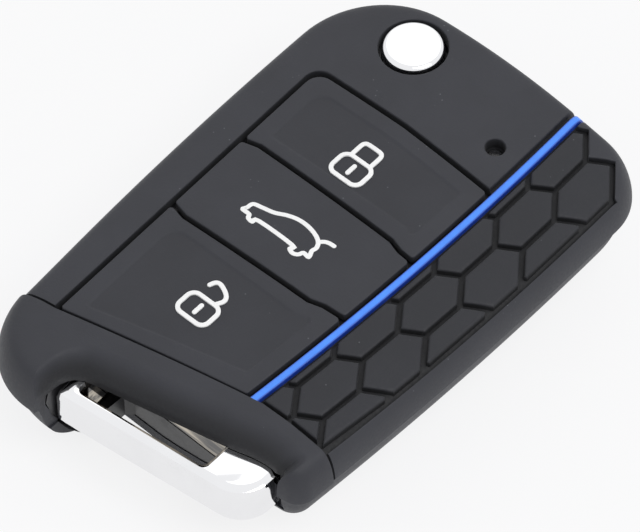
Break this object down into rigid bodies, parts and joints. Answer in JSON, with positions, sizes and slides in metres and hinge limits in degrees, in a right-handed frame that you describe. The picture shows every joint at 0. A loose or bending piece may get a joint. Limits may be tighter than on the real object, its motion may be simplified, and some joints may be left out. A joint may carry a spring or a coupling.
{
  "type": "silicone key cover on a folding car key",
  "caption": "Black silicone cover with honeycomb grip, blue strip and grooved press pads, stretched over a folding car key with a metal key ring loop and a flip-out blade.",
  "frame": {"origin": "middle of the bounding box in plan, on the flat surface that the key's back lies on", "axes": "+Z out of the face with the buttons, +Y towards the end with the blade's pivot and release button, +X to the right as the face is read"},
  "size_m": [0.0484, 0.0776, 0.0173],
  "materials": {
    "silicone": "matte silicone with a fine grain and a soft sheen",
    "strip": "translucent bright blue silicone strip",
    "symbol": "matte white inlaid silicone",
    "black_plastic": "black moulded plastic with a low sheen",
    "polished_chrome": "polished chrome plate",
    "steel": "ground and milled steel",
    "spring_steel": "oiled spring wire",
    "clear": "clear moulded light pipe",
    "board": "green lacquered circuit board",
    "dark_part": "dark moulded electronic part",
    "seal_grey": "grey rubber",
    "copper": "lacquered copper winding",
    "contact": "gilt spring contact",
    "cell_steel": "plain steel cell can",
    "red_light": "tinted light-emitting part"
  },
  "bodies": {
    "key": {"silicone_cover": "silicone", "accent_stripe": "strip", "front_housing": "black_plastic", "rear_housing": "black_plastic", "battery_cover": "black_plastic", "key_ring_loop": "polished_chrome", "loop_pins": "steel", "housing_screws": "steel", "release_spring": "spring_steel", "pivot_pin": "steel", "flip_spring": "spring_steel", "keypad_seal": "seal_grey", "light_pipe": "clear", "circuit_board": "board", "board_tray": "dark_part", "lock_switch": "dark_part", "boot_switch": "dark_part", "unlock_switch": "dark_part", "status_light": "red_light", "radio_chip": "dark_part", "crystal": "cell_steel", "aerial_coil": "copper", "transponder_chip": "dark_part", "coin_cell": "cell_steel", "cell_top_contact": "contact", "cell_side_contact": "contact"},
    "blade": {"blade_hub": "steel", "key_blade": "steel", "blade_pin": "steel"},
    "release": {"release_button": "polished_chrome"},
    "lock_press": {"lock_pad": "silicone", "lock_symbol": "symbol", "lock_key": "seal_grey", "lock_plunger": "dark_part"},
    "boot_press": {"boot_pad": "silicone", "boot_symbol": "symbol", "boot_key": "seal_grey", "boot_plunger": "dark_part"},
    "unlock_press": {"unlock_pad": "silicone", "unlock_symbol": "symbol", "unlock_key": "seal_grey", "unlock_plunger": "dark_part"}
  },
  "joints": [
    {"name": "blade_flip", "type": "hinge", "parent": "key", "child": "blade", "pos_m": [-0.01121, 0.031, 0.0079], "axis": [0, 0, -1], "range_deg": [0, 180]},
    {"name": "release_press", "type": "slide", "parent": "key", "child": "release", "axis": [0, 0, -1], "range_m": [0, 0.0015], "stiffness_N_per_m": 1200, "deforming": ["release_spring"]},
    {"name": "lock_press", "type": "slide", "parent": "key", "child": "lock_press", "axis": [0, 0, -1], "range_m": [0, 0.0004], "stiffness_N_per_m": 3000},
    {"name": "boot_press", "type": "slide", "parent": "key", "child": "boot_press", "axis": [0, 0, -1], "range_m": [0, 0.0004], "stiffness_N_per_m": 3000},
    {"name": "unlock_press", "type": "slide", "parent": "key", "child": "unlock_press", "axis": [0, 0, -1], "range_m": [0, 0.0004], "stiffness_N_per_m": 3000}
  ]
}
